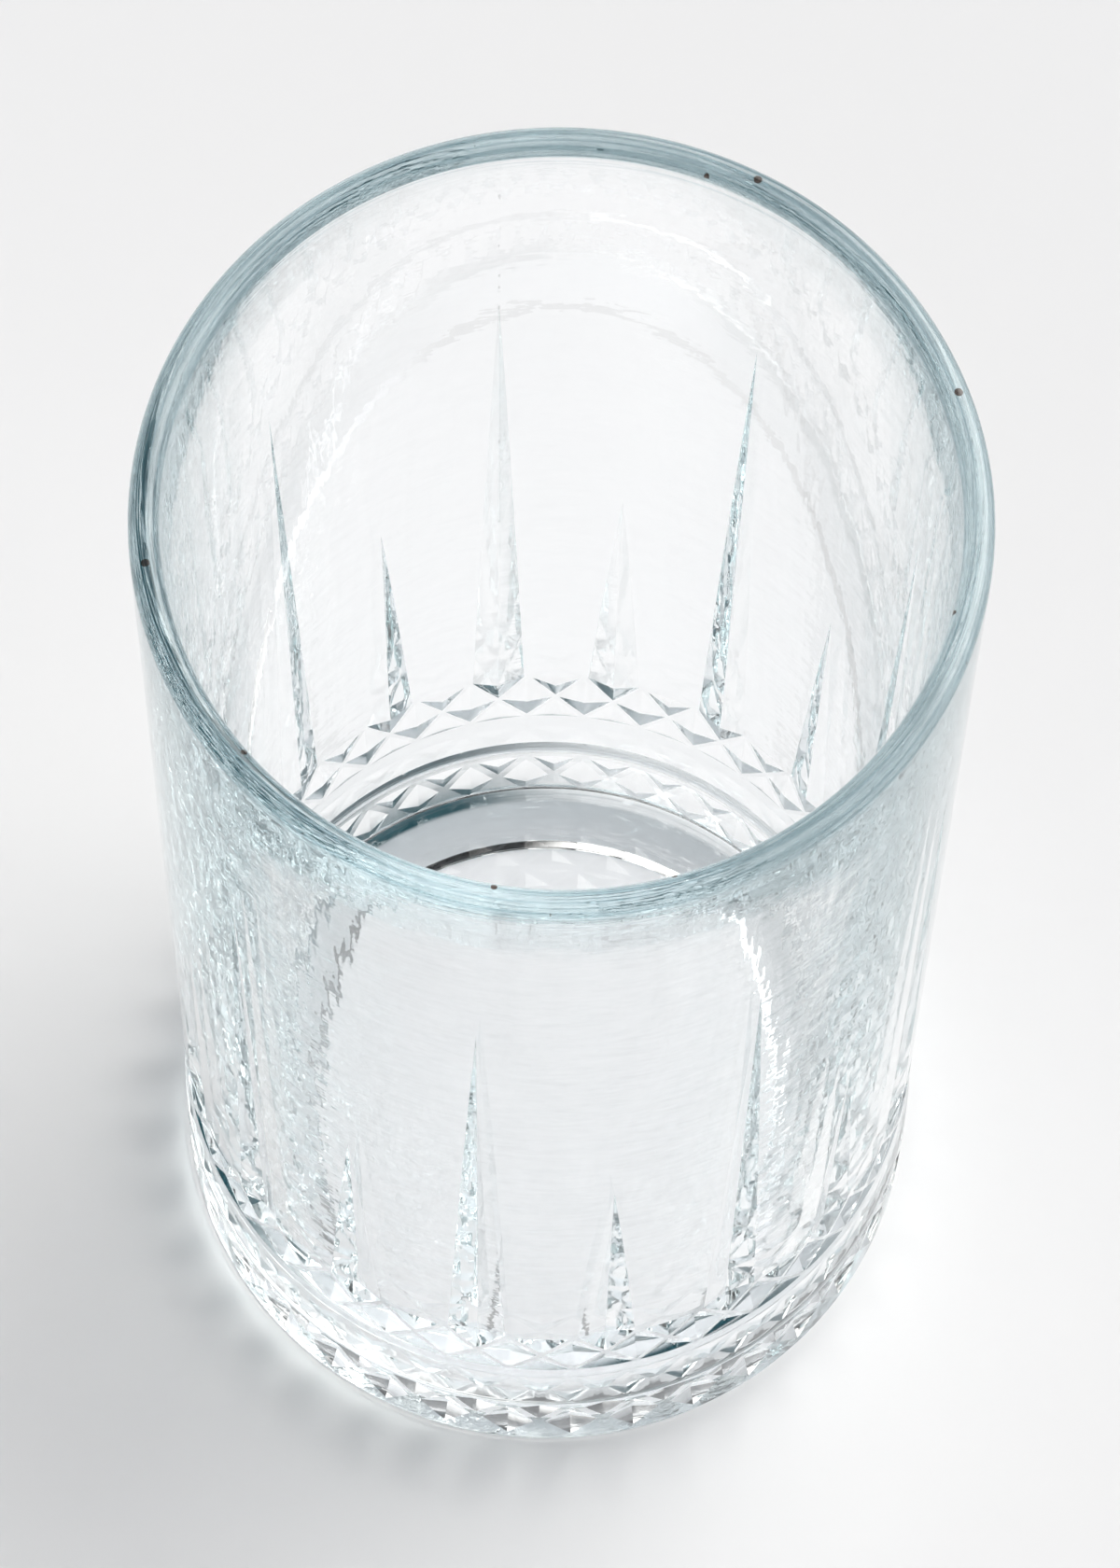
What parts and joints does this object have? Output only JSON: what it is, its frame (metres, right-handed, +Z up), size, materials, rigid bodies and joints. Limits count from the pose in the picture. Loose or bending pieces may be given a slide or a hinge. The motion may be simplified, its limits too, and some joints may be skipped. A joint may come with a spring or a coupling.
{
  "type": "highball glass",
  "caption": "Tall, nearly straight highball tumbler of clear pressed glass, with pointed mitre cuts up its wall, bands of sunk diamonds above its foot, a rounded lip and a thick base.",
  "frame": {"origin": "centre of the circle that the glass stands on, at table height", "axes": "+Z up along the axis of the glass, towards the lip; -Y is the side that faces the camera in the picture"},
  "size_m": [0.074, 0.074, 0.145],
  "materials": {
    "clear_glass": "clear soda-lime glass, pressed and fire-polished, faintly blue-green along the lip"
  },
  "bodies": {
    "root": {"glass_tumbler": "clear_glass"}
  },
  "joints": []
}
